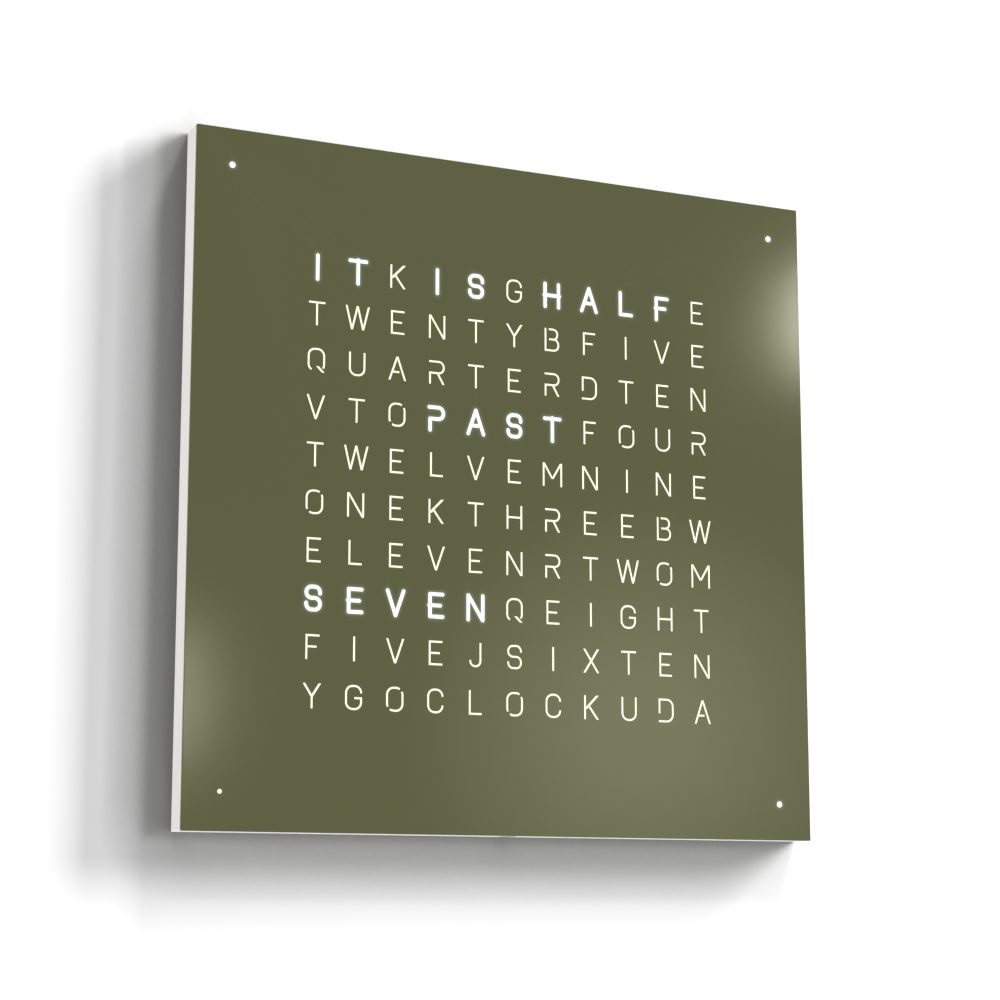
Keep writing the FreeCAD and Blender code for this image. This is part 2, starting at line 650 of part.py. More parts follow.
# Setting buttons in the underside, each with its side-pressed switch and the switch's own nub
for use, middle_x in button_places.items():
    button = new_body(f"{use}_button")
    cap = level_sketch(button, f"{use}_cap", "button_recess")
    circle(cap, "0", "0", "button_width")
    pad(button, cap, "rim_wall + slide_gap - button_recess", f"{use}_stem")
    dish = level_sketch(button, f"{use}_dish", "button_recess")
    circle(dish, "0", "0", "(button_width - 2 * button_lip)")
    pocket(button, dish, "button_dish", f"{use}_dish_cut", outwards=True)
    flange = level_sketch(button, f"{use}_flange", "(rim_wall + slide_gap)")
    circle(flange, "0", "0", "button_flange")
    pad(button, flange, "button_flange_thick", f"{use}_collar")
    nub = new_body(f"{use}_switch_nub")
    nub_section = level_sketch(nub, f"{use}_nub", "(rim_wall + slide_gap + button_flange_thick)")
    circle(nub_section, "0", "0", "switch_nub")
    pad(nub, nub_section, "nub_reach + nub_depth", f"{use}_nub_pad")
    switch = new_body(f"{use}_switch")
    housing = level_sketch(switch, f"{use}_housing", f"(side / 2 - {switch_foot})")
    rectangle(housing, "0", "0", "switch_width", "switch_height")
    pad(switch, housing, "switch_length", f"{use}_housing_pad")
    nub_bore = level_sketch(switch, f"{use}_nub_bore", f"(side / 2 - {switch_foot})")
    circle(nub_bore, "0", "0", "(switch_nub + 2 * slide_gap)")
    pocket(switch, nub_bore, "nub_depth + button_travel + cord_gap", f"{use}_nub_bore_cut", outwards=True)
    for body in (button, nub, switch):
        place(body, middle_x, button_axis, "(-side / 2)")

# Parts on the board: two chips, the backup cell in its holder, a capacitor and the strip plug
board_line = f"(-{board_middle})"
block_body("microcontroller", board_front, "chip_place", board_line, "chip_side", "chip_side", "chip_height")
block_body("timekeeper_chip", board_front, "timekeeper_place", board_line,
           "timekeeper_width", "timekeeper_height", "timekeeper_rise")
holder = block_body("cell_holder", board_front, "cell_place", board_line,
                    "(cell_width + 2 * holder_margin)", "(cell_width + 2 * holder_margin)",
                    "holder_floor + cell_height / 2")
cup = wall_sketch(holder, "cell_cup", f"({board_front} + holder_floor)")
circle(cup, "cell_place", board_line, "(cell_width + 2 * slide_gap)")
pocket(holder, cup, "cell_height / 2", "cell_cup_cut", outwards=True)
coin_cell = new_body("coin_cell")
cell_disc = wall_sketch(coin_cell, "cell_disc", f"({board_front} + holder_floor)")
circle(cell_disc, "cell_place", board_line, "cell_width")
pad(coin_cell, cell_disc, "cell_height", "cell_can")
capacitor = block_body("capacitor", board_front, "capacitor_place", board_line,
                       "capacitor_base", "capacitor_base", "capacitor_foot")
can = wall_sketch(capacitor, "capacitor_can", f"({board_front} + capacitor_foot)")
circle(can, "capacitor_place", board_line, "capacitor_width")
pad(capacitor, can, "capacitor_height - capacitor_foot", "capacitor_can_pad")
block_body("strip_plug", "(panel_sheet + ribbon_thick)", ribbon_place, f"(-{plug_middle})",
           "plug_width", "plug_height", "spacer_height - ribbon_thick")

# Ribbon cable: flat on the panel from under the strip plug to the lowest strip
ribbon_foot = f"({plug_middle} + plug_height / 2)"
ribbon_head = f"({top_row} + strip_width / 2)"
block_body("ribbon_cable", "panel_sheet", ribbon_place, f"(-({ribbon_foot} + {ribbon_head}) / 2)",
           "ribbon_width", f"({ribbon_foot} - {ribbon_head})", "ribbon_thick")

# Build everything, look for failures, and write one file for each piece
doc.recompute()
for item in doc.Objects:
    if {"Invalid", "Error"} & set(item.State):
        raise RuntimeError(f"{item.Label} failed: {item.State}")
pieces = [item for item in doc.Objects if item.TypeId == "PartDesign::Body"]
for piece in pieces:
    before = 0
    for feature in piece.Group:
        if not feature.isDerivedFrom("PartDesign::Feature"):
            continue
        volume = feature.Shape.Volume
        if feature.TypeId in ("PartDesign::Pocket", "PartDesign::Hole") and volume > before - tolerance:
            raise RuntimeError(f"{feature.Label} cuts nothing")
        before = volume
    if piece.Shape.isNull() or not piece.Shape.isValid():
        raise RuntimeError(f"{piece.Label} has no valid shape")

os.makedirs("parts", exist_ok=True)
for piece in pieces:
    piece.Shape.exportStep(f"parts/{piece.Label}.step")
print(len(pieces), "pieces written")
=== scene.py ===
import math

import bmesh
import bpy
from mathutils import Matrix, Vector
from mathutils.geometry import delaunay_2d_cdt
import numpy


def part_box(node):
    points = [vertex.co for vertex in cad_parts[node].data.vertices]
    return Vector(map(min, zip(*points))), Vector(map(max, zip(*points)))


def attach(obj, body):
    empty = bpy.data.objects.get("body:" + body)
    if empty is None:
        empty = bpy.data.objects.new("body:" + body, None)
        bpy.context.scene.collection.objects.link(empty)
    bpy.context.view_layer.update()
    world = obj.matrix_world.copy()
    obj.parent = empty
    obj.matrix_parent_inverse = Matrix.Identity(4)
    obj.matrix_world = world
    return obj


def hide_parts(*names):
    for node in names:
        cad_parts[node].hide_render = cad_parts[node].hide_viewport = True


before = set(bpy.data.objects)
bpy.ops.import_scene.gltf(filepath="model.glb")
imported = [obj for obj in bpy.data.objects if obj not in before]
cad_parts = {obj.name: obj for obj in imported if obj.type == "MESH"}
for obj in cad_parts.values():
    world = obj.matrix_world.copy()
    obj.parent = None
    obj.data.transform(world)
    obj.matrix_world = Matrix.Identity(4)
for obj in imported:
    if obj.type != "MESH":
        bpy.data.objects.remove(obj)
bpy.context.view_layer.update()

scene = bpy.context.scene
scene.view_settings.view_transform = "Standard"


# The casing is a routed fibre board, sprayed with a white satin lacquer and rubbed down.
# The lacquer has a faint orange peel, and its colour is a little warmer than pure white.
mm = 0.001


def new_finish(name, colour, roughness):
    """A finish with its shader set to one colour and roughness; the section adds its grain."""
    material = bpy.data.materials.new(name)
    material.use_nodes = True
    nodes = material.node_tree.nodes
    shader = nodes["Principled BSDF"]
    shader.inputs["Base Color"].default_value = (*colour, 1)
    shader.inputs["Roughness"].default_value = roughness
    place = nodes.new("ShaderNodeTexCoord")
    return material, material.node_tree, shader, place.outputs["Object"]


def grain(tree, place, size, detail=2.0, stretch=(1, 1, 1)):
    """A noise whose grains are about one size, drawn out along an axis where stretch is under 1."""
    scaling = tree.nodes.new("ShaderNodeMapping")
    scaling.inputs["Scale"].default_value = stretch
    noise = tree.nodes.new("ShaderNodeTexNoise")
    noise.inputs["Scale"].default_value = 1 / size
    noise.inputs["Detail"].default_value = detail
    tree.links.new(place, scaling.inputs["Vector"])
    tree.links.new(scaling.outputs["Vector"], noise.inputs["Vector"])
    return noise.outputs["Fac"]


def spread(tree, value, low, high):
    """Turn a noise of about 0.3 to 0.7 into the range from low to high."""
    ranged = tree.nodes.new("ShaderNodeMapRange")
    ranged.inputs["From Min"].default_value = 0.3
    ranged.inputs["From Max"].default_value = 0.7
    ranged.inputs["To Min"].default_value = low
    ranged.inputs["To Max"].default_value = high
    tree.links.new(value, ranged.inputs["Value"])
    return ranged.outputs["Result"]


def shade_by(tree, value, share, shader):
    """Make the shader's colour darker and lighter by a share, by a noise."""
    colour = shader.inputs["Base Color"].default_value[:3]
    shades = tree.nodes.new("ShaderNodeMix")
    shades.data_type = "RGBA"
    for end, change in (("A", 1 - share), ("B", 1 + share)):
        shades.inputs[end].default_value = (*[min(part * change, 1) for part in colour], 1)
    tree.links.new(spread(tree, value, 0, 1), shades.inputs["Factor"])
    tree.links.new(shades.outputs["Result"], shader.inputs["Base Color"])


def raise_by(tree, value, height, shader):
    """Bump of a height in metres by a noise."""
    bump = tree.nodes.new("ShaderNodeBump")
    bump.inputs["Distance"].default_value = height
    tree.links.new(value, bump.inputs["Height"])
    tree.links.new(bump.outputs["Normal"], shader.inputs["Normal"])


def coat(material, *nodes):
    """Give CAD nodes, which keep their own shape, a finish."""
    for name in nodes:
        for cad_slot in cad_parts[name].material_slots:
            cad_slot.material = material


lacquer, tree, shader, place = new_finish("white_lacquer", (0.80, 0.785, 0.745), 0.34)
shade_by(tree, grain(tree, place, 60 * mm), 0.02, shader)
raise_by(tree, grain(tree, place, 1.6 * mm), 0.02 * mm, shader)
tree.links.new(spread(tree, grain(tree, place, 9 * mm), 0.3, 0.4), shader.inputs["Roughness"])
shader.inputs["Coat Weight"].default_value = 0.25
shader.inputs["Coat Roughness"].default_value = 0.22
coat(lacquer, "casing")


# The letters are cut through the cover by laser, all with one stroke width.
# Their shapes are plain stencil strokes, and every closed letter is bridged so that nothing drops out.
cap_height = 16 * mm
stroke = 1.35 * mm
half_stroke = stroke / 2
arc_steps = 8
least_mitre = 0.2

# A run is a line of points from -1 to 1 across and up the letter, with the radius of its bend in mm.
# A slope is a straight stroke whose ends are cut level.
runs = {
    "A": (12.6, [[(-0.64, -0.33), (0.25, -0.33)]]),
    "B": (11.0, [[(-1, 1), (-1, -1), (1, -1, 3.5), (1, 0.05, 3.5), (-0.45, 0.05)],
                 [(0.1, 0.05), (0.84, 0.05, 3.2), (0.84, 1, 3.2), (-0.5, 1)]]),
    "C": (11.4, [[(1, 0.38), (1, 1, 4.4), (-1, 1, 4.4), (-1, -1, 4.4), (1, -1, 4.4), (1, -0.38)]]),
    "D": (11.5, [[(-1, -0.28), (-1, 1), (1, 1, 4.6), (1, -1, 4.6), (-1, -1)]]),
    "E": (9.6, [[(1, 1), (-1, 1), (-1, -1), (1, -1)], [(-1, 0), (0.75, 0)]]),
    "F": (9.4, [[(1, 1), (-1, 1), (-1, -1)], [(-1, 0.02), (0.7, 0.02)]]),
    "G": (11.6, [[(1, 0.38), (1, 1, 4.4), (-1, 1, 4.4), (-1, -1, 4.4), (1, -1, 4.4), (1, -0.05),
                  (0.1, -0.05)]]),
    "H": (11.5, [[(-1, 1), (-1, -1)], [(1, 1), (1, -1)], [(-1, 0), (1, 0)]]),
    "I": (1.35, [[(0, 1), (0, -1)]]),
    "J": (8.6, [[(1, 1), (1, -1, 3.4), (-1, -1, 3.4), (-1, -0.45)]]),
    "K": (11.0, [[(-1, 1), (-1, -1)]]),
    "L": (9.2, [[(-1, 1), (-1, -1), (1, -1)]]),
    "M": (14.5, [[(-1, 1), (-1, -1)], [(1, 1), (1, -1)]]),
    "N": (11.8, [[(-1, 1), (-1, -1)], [(1, 1), (1, -1)]]),
    "O": (12.0, [[(-0.91, -0.67), (-0.98, -0.52), (-1, -0.4), (-1, 1, 4.4), (0.17, 1),
                  (0.43, 0.97), (0.64, 0.89)],
                 [(0.91, 0.67), (0.98, 0.52), (1, 0.4), (1, -1, 4.4), (-0.17, -1),
                  (-0.43, -0.97), (-0.64, -0.89)]]),
    "P": (10.8, [[(-1, -1), (-1, -0.05), (1, -0.05, 3.6), (1, 1, 3.6), (-1, 1)]]),
    "Q": (12.0, [[(-0.64, -0.89), (-0.91, -0.67), (-0.98, -0.52), (-1, -0.4), (-1, 1, 4.4), (1, 1, 4.4),
                  (1, -0.4), (0.98, -0.52), (0.87, -0.72)]]),
    "R": (11.2, [[(-1, -1), (-1, -0.05), (1, -0.05, 3.6), (1, 1, 3.6), (-1, 1)]]),
    "S": (10.6, [[(1, 0.42), (1, 1, 3.5), (-1, 1, 3.5), (-1, 0.02, 3.5), (1, 0.02, 3.5),
                  (1, -1, 3.5), (-1, -1, 3.5), (-1, -0.42)]]),
    "T": (11.4, [[(-1, 1), (1, 1)], [(0, 1), (0, -1)]]),
    "U": (11.5, [[(-1, 1), (-1, -1, 4.5), (1, -1, 4.5), (1, 1)]]),
    "V": (12.6, []),
    "W": (17.0, []),
    "X": (12.0, []),
    "Y": (12.4, [[(0, 0.02), (0, -1)]]),
}
slopes = {
    "A": [(-1, -1, 0, 1), (1, -1, 0, 1)],
    "K": [(1, 1, -0.99, -0.15), (-0.46, 0.14, 1, -1)],
    "M": [(-1, 1, 0, -0.35), (1, 1, 0, -0.35)],
    "N": [(-1, 1, 1, -1)],
    "Q": [(0.15, -0.5, 1, -1)],
    "R": [(0.1, -0.06, 1, -1)],
    "V": [(-1, 1, 0, -1), (1, 1, 0, -1)],
    "W": [(-1, 1, -0.5, -1), (0, 1, -0.5, -1), (0, 1, 0.5, -1), (1, 1, 0.5, -1)],
    "X": [(-1, 1, 1, -1), (1, 1, -1, -1)],
    "Y": [(-1, 1, 0, -0.04), (1, 1, 0, -0.04)],
}


def bend(before, corner, after, radius):
    """Points of the arc that rounds a corner."""
    inwards = (before - corner).normalized()
    onwards = (after - corner).normalized()
    half_turn = inwards.angle(onwards) / 2
    start = corner + inwards * radius / math.tan(half_turn)
    middle = corner + (inwards + onwards).normalized() * radius / math.sin(half_turn)
    spoke = start - middle
    sweep = (math.pi - 2 * half_turn) * (1 if inwards.cross(onwards) < 0 else -1)
    steps = [sweep * step / arc_steps for step in range(arc_steps + 1)]
    return [
        middle + Vector((spoke.x * math.cos(turn) - spoke.y * math.sin(turn),
                         spoke.x * math.sin(turn) + spoke.y * math.cos(turn)))
        for turn in steps
    ]


def centre_line(run, reach_x, reach_z):
    """The middle of a run in metres, with its bends, and its ends brought out to the letter's edge."""
    corners = [Vector((point[0] * reach_x, point[1] * reach_z)) for point in run]
    line = []
    for index, point in enumerate(run):
        if len(point) == 3:
            line += bend(corners[index - 1], corners[index], corners[index + 1], point[2] * mm)
        else:
            line.append(corners[index])
    for end, second, point in ((0, 1, run[0]), (-1, -2, run[-1])):
        away = (line[end] - line[second]).normalized()
        at_edge = abs(point[0]) == 1 if abs(away.x) > 0.5 else abs(point[1]) == 1
        if at_edge:
            line[end] = line[end] + away * half_stroke
    return line


def ribbon(line):
    """The outline of a stroke along a line, with mitred corners and square ends."""
    sides = ([], [])
    for index, point in enumerate(line):
        ways = []
        if index > 0:
            ways.append((point - line[index - 1]).normalized())
        if index < len(line) - 1:
            ways.append((line[index + 1] - point).normalized())
        normals = [Vector((-way.y, way.x)) for way in ways]
        normal = sum(normals, Vector((0, 0))).normalized()
        reach = half_stroke / max(normal.dot(normals[0]), least_mitre)
        sides[0].append(point + normal * reach)
        sides[1].append(point - normal * reach)
    return sides[0] + sides[1][::-1]


def letter_strokes(letter):
    """(outline, middle line) of each stroke of a letter, about the letter's own centre."""
    width, letter_runs = runs[letter]
    width *= mm
    strokes = []
    for run in letter_runs:
        line = centre_line(run, (width - stroke) / 2, (cap_height - stroke) / 2)
        strokes.append((ribbon(line), line))
    for from_x, from_z, to_x, to_z in slopes.get(letter, []):
        rise = abs(to_z - from_z) * cap_height / 2
        lean = abs(to_x - from_x) * width / 2
        half_width = half_stroke * math.hypot(rise, lean) / rise
        reach = width / 2 - half_width
        start = Vector((from_x * reach, from_z * cap_height / 2))
        end = Vector((to_x * reach, to_z * cap_height / 2))
        side = Vector((half_width, 0))
        strokes.append(([start - side, start + side, end + side, end - side], [start, end]))
    return strokes


# The dial has eleven letters in each of its ten rows, one in front of each lamp.
# The lit words and corner points tell one time; the lamps behind them are on.
dial = [
    "ITKISGHALFE",
    "TWENTYBFIVE",
    "QUARTERDTEN",
    "VTOPASTFOUR",
    "TWELVEMNINE",
    "ONEKTHREEBW",
    "ELEVENRTWOM",
    "SEVENQEIGHT",
    "FIVEJSIXTEN",
    "YGOCLOCKUDA",
]
lit_words = [(0, 0, 2), (0, 3, 2), (0, 6, 4), (3, 3, 4), (7, 0, 5)]
lit_corners = [(-1, 1), (1, 1), (1, -1)]
columns = len(dial[0])
lit_cells = {(row, first + step) for row, first, count in lit_words for step in range(count)}


def row_middle(row):
    low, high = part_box(f"lamps_row_{row + 1:02d}")
    return (low.z + high.z) / 2


row_low, row_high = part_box("lamps_row_01")
lamp_side = row_high.z - row_low.z
column_pitch = (row_high.x - row_low.x - lamp_side) / (columns - 1)
row_pitch = row_middle(0) - row_middle(1)
point_low, point_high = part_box("minute_board_top_right")
point_reach = (point_low.x + point_high.x) / 2
point_radius = 1.5 * mm


def cell_middle(row, column):
    return Vector(((column - (columns - 1) / 2) * column_pitch, row_middle(row)))


# The cover is laser-cut sheet steel, 1.5 mm thick, with a fine-textured olive powder coat.
# The coat rounds its outer edges. Four studs are welded to its back, and magnets hold it.
# The cut letters are filled nearly level with clear resin over an opal film, so no dust gets in.
cover_low, cover_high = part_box("front_cover")
sheet_front = cover_low.y
sheet_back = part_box("casing")[0].y
half_side = cover_high.x
edge_round = 0.35 * mm
edge_steps = 3
corner_round = 0.8 * mm
corner_steps = 4
fill_recess = 0.12 * mm
# The glow on the coat round each lit letter and point is painted: a bright core just past the cut's edge,
# then a fading halo.
glow_reach = 4.2 * mm
core_reach = 1.0 * mm
core_end = 1.4 * mm
core_level = 1.2
halo_level = 0.11
halo_fade = 0.9 * mm
glow_rings = [core_reach, (core_reach + core_end) / 2, core_end]
glow_pace = 0.7 * mm
glow_clearance = 0.15 * mm
sharp_turn = 0.35
dot_length = 0.01 * mm
ring_steps = 16
merge_distance = 1e-7
least_square = 1e-12
plain_index = 1
lit_index = 2


def disc_line(middle, radius, steps=32):
    return [
        middle + Vector((radius * math.cos(2 * math.pi * step / steps),
                         radius * math.sin(2 * math.pi * step / steps)))
        for step in range(steps)
    ]


def gaps(places, segments):
    """The least distance from each of some places to some segments."""
    least = numpy.full(len(places), numpy.inf)
    for start, end in segments:
        start, way = numpy.array(start), numpy.array(end - start)
        share = (places - start) @ way / max(way @ way, least_square)
        nearest = start + numpy.clip(share, 0, 1)[:, None] * way
        least = numpy.minimum(least, numpy.linalg.norm(places - nearest, axis=1))
    return least


def knots(line):
    """The ends and sharp corners of a line."""
    found = [line[0], line[-1]]
    for before, point, after in zip(line, line[1:], line[2:]):
        if (point - before).angle(after - point) > sharp_turn:
            found.append(point)
    return found


def points_by(line):
    """Places beside a line and round its knots, at the distances where the painted glow changes fast."""
    found = []
    for knot in knots(line):
        for ring in glow_rings:
            found += disc_line(knot, ring, ring_steps)
    for start, end in zip(line, line[1:]):
        along = (end - start).normalized()
        across = Vector((-along.y, along.x))
        count = max(1, round((end - start).length / glow_pace))
        found += [start + (end - start) * step / count + across * ring * sign
                  for step in range(count + 1) for ring in glow_rings for sign in (-1, 1)]
    return found


# Each cut has its outline and says whether it is lit.
# Each lit letter or corner point has its middle, its middle lines and the half width of its cut.
cuts = []
lit_groups = []
for row, text in enumerate(dial):
    for column, letter in enumerate(text):
        middle = cell_middle(row, column)
        lines = []
        for outline, line in letter_strokes(letter):
            cuts.append(([middle + point for point in outline], (row, column) in lit_cells))
            lines.append([middle + point for point in line])
        if (row, column) in lit_cells:
            lit_groups.append((middle, lines, half_stroke))
for across in (-1, 1):
    for up in (-1, 1):
        middle = Vector((across * point_reach, up * point_reach))
        cuts.append((disc_line(middle, point_radius), (across, up) in lit_corners))
        if (across, up) in lit_corners:
            lit_groups.append((middle, [[middle, middle + Vector((0, dot_length))]], point_radius))

# The front is drawn flat first: all outlines, and points wherever the painted glow on the coat changes.
flat = []
kept_edges = []


def add_outline(line):
    """Put a closed line in the flat drawing of the plate."""
    start = len(flat)
    flat.extend(line)
    kept_edges.extend((start + step, start + (step + 1) % len(line)) for step in range(len(line)))


def plate_line(inset):
    """The outline of the plate at an inset from its sides, with rounded corners."""
    reach = half_side - inset
    radius = corner_round - inset
    line = []
    for quarter in range(4):
        for step in range(corner_steps + 1):
            turn = math.pi / 2 * (quarter + step / corner_steps)
            middle = Vector((math.copysign(reach - radius, (1, -1, -1, 1)[quarter]),
                             math.copysign(reach - radius, (1, 1, -1, -1)[quarter])))
            line.append(middle + Vector((math.cos(turn), math.sin(turn))) * radius)
    return line


for outline, _ in cuts:
    add_outline(outline)
rim_start = len(flat)
rim_length = len(plate_line(edge_round))
add_outline(plate_line(edge_round))

for middle, lines, hole_half in lit_groups:
    segments = [pair for line in lines for pair in zip(line, line[1:])]
    reach = cap_height / 2 + glow_reach
    steps = numpy.arange(-reach, reach, glow_pace)
    field = numpy.array([(middle.x + x, middle.y + z) for x in steps for z in steps])
    apart = gaps(field, segments)
    near = (apart > core_end + half_stroke - hole_half) & (apart < glow_reach + glow_pace)
    flat.extend(Vector(place) for place in field[near])
    if hole_half > half_stroke:
        beside = numpy.array([place for ring in glow_rings
                              for place in disc_line(middle, ring + hole_half - half_stroke)])
    else:
        beside = numpy.array([place for line in lines for place in points_by(line)])
    clear = gaps(beside, segments) > hole_half + glow_clearance
    flat.extend(Vector(place) for place in beside[clear])

points, _, faces, found_from, _, _ = delaunay_2d_cdt(flat, kept_edges, [], 0, merge_distance, True)
places = numpy.array([tuple(point) for point in points])
middles = numpy.array([places[list(face)].mean(axis=0) for face in faces])
cut_of = numpy.full(len(faces), -1)
for number, (outline, _) in enumerate(cuts):
    corners = numpy.array([tuple(point) for point in outline])
    near = numpy.all((middles > corners.min(axis=0)) & (middles < corners.max(axis=0)), axis=1)
    x, z = middles[near].T
    inside = numpy.zeros(len(x), dtype=bool)
    for (start_x, start_z), (end_x, end_z) in zip(corners, numpy.roll(corners, -1, axis=0)):
        if start_z != end_z:
            between = (start_z > z) != (end_z > z)
            inside ^= between & (x < start_x + (z - start_z) / (end_z - start_z) * (end_x - start_x))
    hits = numpy.flatnonzero(near)[inside]
    cut_of[hits] = number


def join_rings(build, first, second):
    """Close the band between two rings of points of the same length."""
    for index in range(len(first)):
        after = (index + 1) % len(first)
        build.faces.new([first[index], second[index], second[after], first[after]])


build = bmesh.new()
front_points = [build.verts.new((point.x, sheet_front, point.y)) for point in points]
back_points = [build.verts.new((point.x, sheet_back, point.y)) for point in points]
fill_points = {}
front_faces = []
for face, number in zip(faces, cut_of):
    back = build.faces.new([back_points[index] for index in face])
    if number < 0:
        front_faces.append(build.faces.new([front_points[index] for index in reversed(face)]))
        continue
    for index in face:
        if index not in fill_points:
            point = points[index]
            fill_points[index] = build.verts.new((point.x, sheet_front + fill_recess, point.y))
    fill = build.faces.new([fill_points[index] for index in reversed(face)])
    fill.material_index = lit_index if cuts[number][1] else plain_index
    back.material_index = plain_index

# the walls of the cuts reach from the front down to the fill
edge_points = {point: index for index, point in enumerate(front_points)}
rim_place = {source: index for index, sources in enumerate(found_from) for source in sources}
rim_indices = [rim_place[rim_start + step] for step in range(rim_length)]
rim_points = {front_points[index] for index in rim_indices}
for edge in [edge for face in front_faces for edge in face.edges if edge.is_boundary]:
    first, second = edge.verts
    if not (first in rim_points and second in rim_points):
        first_fill, second_fill = fill_points[edge_points[first]], fill_points[edge_points[second]]
        build.faces.new([first, second, second_fill, first_fill])

# the rounded outer edge and the sides
turns = [math.pi / 2 * step / edge_steps for step in range(1, edge_steps + 1)]
edge_rings = [(edge_round * (1 - math.sin(turn)), edge_round * (1 - math.cos(turn))) for turn in turns]
outer_ring = [front_points[index] for index in rim_indices]
for inset, depth in edge_rings + [(0.0, sheet_back - sheet_front)]:
    new_ring = [build.verts.new((point.x, sheet_front + depth, point.y)) for point in plate_line(inset)]
    join_rings(build, outer_ring, new_ring)
    outer_ring = new_ring
join_rings(build, outer_ring, [back_points[index] for index in rim_indices])

# the welded studs
stud_radius = 2 * mm
stud_chamfer = 0.4 * mm
stud_steps = 24
sheet_gap = 0.3 * mm
stud_place = (half_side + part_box("diffuser_sheet")[1].x + sheet_gap) / 2
for across in (-1, 1):
    for up in (-1, 1):
        middle = Vector((across * stud_place, up * stud_place))
        sections = [(stud_radius, sheet_back), (stud_radius, cover_high.y - stud_chamfer),
                    (stud_radius - stud_chamfer, cover_high.y)]
        loops = [
            [build.verts.new((point.x, depth, point.y)) for point in disc_line(middle, radius, stud_steps)]
            for radius, depth in sections
        ]
        for lower, upper in zip(loops, loops[1:]):
            join_rings(build, lower, upper)
        build.faces.new(loops[0])
        build.faces.new(list(reversed(loops[-1])))
for point in [point for point in build.verts if not point.link_faces]:
    build.verts.remove(point)
bmesh.ops.recalc_face_normals(build, faces=build.faces)
plate = bpy.data.meshes.new("cover_plate")
build.to_mesh(plate)
build.free()

# the painted glow's level on the coat at each point of the plate, by its distance from the lit strokes
spots = numpy.empty(len(plate.vertices) * 3)
plate.vertices.foreach_get("co", spots)
spots = spots.reshape(-1, 3)[:, [0, 2]]
levels = numpy.zeros(len(spots))
for middle, lines, hole_half in lit_groups:
    reach = cap_height / 2 + glow_reach
    near = numpy.all(numpy.abs(spots - numpy.array(middle)) < reach, axis=1)
    segments = [pair for line in lines for pair in zip(line, line[1:])]
    apart = gaps(spots[near], segments) + half_stroke - hole_half
    last = math.exp(-(glow_reach - core_end) / halo_fade)
    halo = halo_level * (numpy.exp(-(apart - core_end) / halo_fade) - last) / (1 - last)
    core = numpy.interp(apart, [core_reach, core_end], [core_level, halo_level])
    found = numpy.where(apart < core_end, core, numpy.maximum(halo, 0))
    levels[near] = numpy.maximum(levels[near], found)
painted_glow = plate.attributes.new("painted_glow", "FLOAT", "POINT")
painted_glow.data.foreach_set("value", levels)

powder, tree, shader, place = new_finish("olive_powder_coat", (0.0853, 0.0884, 0.0362), 0.115)
shade_by(tree, grain(tree, place, 0.7 * mm, 3), 0.015, shader)
raise_by(tree, grain(tree, place, 1.1 * mm), 0.02 * mm, shader)
tree.links.new(spread(tree, grain(tree, place, 5 * mm), 0.11, 0.12), shader.inputs["Roughness"])
shader.inputs["Specular IOR Level"].default_value = 0.3
shader.inputs["Specular Tint"].default_value = (1, 1, 0.77, 1)
# The coat's emission, read from the plate's glow attribute, is a painted glow round the lit letters.
shader.inputs["Emission Color"].default_value = (0.86, 1.0, 0.99, 1)
level = tree.nodes.new("ShaderNodeAttribute")
level.attribute_name = "painted_glow"
tree.links.new(level.outputs["Fac"], shader.inputs["Emission Strength"])
plain_fill, tree, shader, place = new_finish("letter_fill", (0.86, 0.87, 0.66), 0.35)
shade_by(tree, grain(tree, place, 2 * mm), 0.02, shader)
raise_by(tree, grain(tree, place, 0.4 * mm), 0.01 * mm, shader)
# The unlit letters carry a faint painted cream glow of strength 0.3, which keeps them bright in their
# shaded cuts.
shader.inputs["Emission Color"].default_value = (0.9, 0.93, 0.72, 1)
shader.inputs["Emission Strength"].default_value = 0.3
lit_fill, tree, shader, place = new_finish("lit_letter_fill", (0.9, 0.9, 0.86), 0.35)
shade_by(tree, grain(tree, place, 2 * mm), 0.02, shader)
raise_by(tree, grain(tree, place, 0.4 * mm), 0.01 * mm, shader)
shader.inputs["Emission Color"].default_value = (1, 1, 1, 1)
shader.inputs["Emission Strength"].default_value = 1.8
for finish in (powder, plain_fill, lit_fill):
    plate.materials.append(finish)

cover = bpy.data.objects.new("cut_letter_cover", plate)
scene.collection.objects.link(cover)
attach(cover, "cover")
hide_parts("front_cover")


# The diffuser is opal acrylic, matt on both sides, laid loose in the casing's front recess.
# It is cream by daylight, with a faint painted cream glow all over, and turns white where a lamp is on
# behind it.
sheet_low, sheet_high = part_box("diffuser_sheet")
cell_steps = 6
lamp_falloff = 0.45
corner_spot = 4 * mm
corner_light_reach = 8 * mm


def sheet_lines(pitch, count, reach, middle):
    """Places of the grid lines along one side: every cell's own steps, and the sheet's ends."""
    first = middle - pitch * count / 2
    lines = [first + pitch * step / cell_steps for step in range(count * cell_steps + 1)]
    for far in (-1, 1):
        near = far * point_reach
        lines += [near + corner_spot * step / 2 for step in range(-2, 3)]
    return sorted([-reach] + lines + [reach])


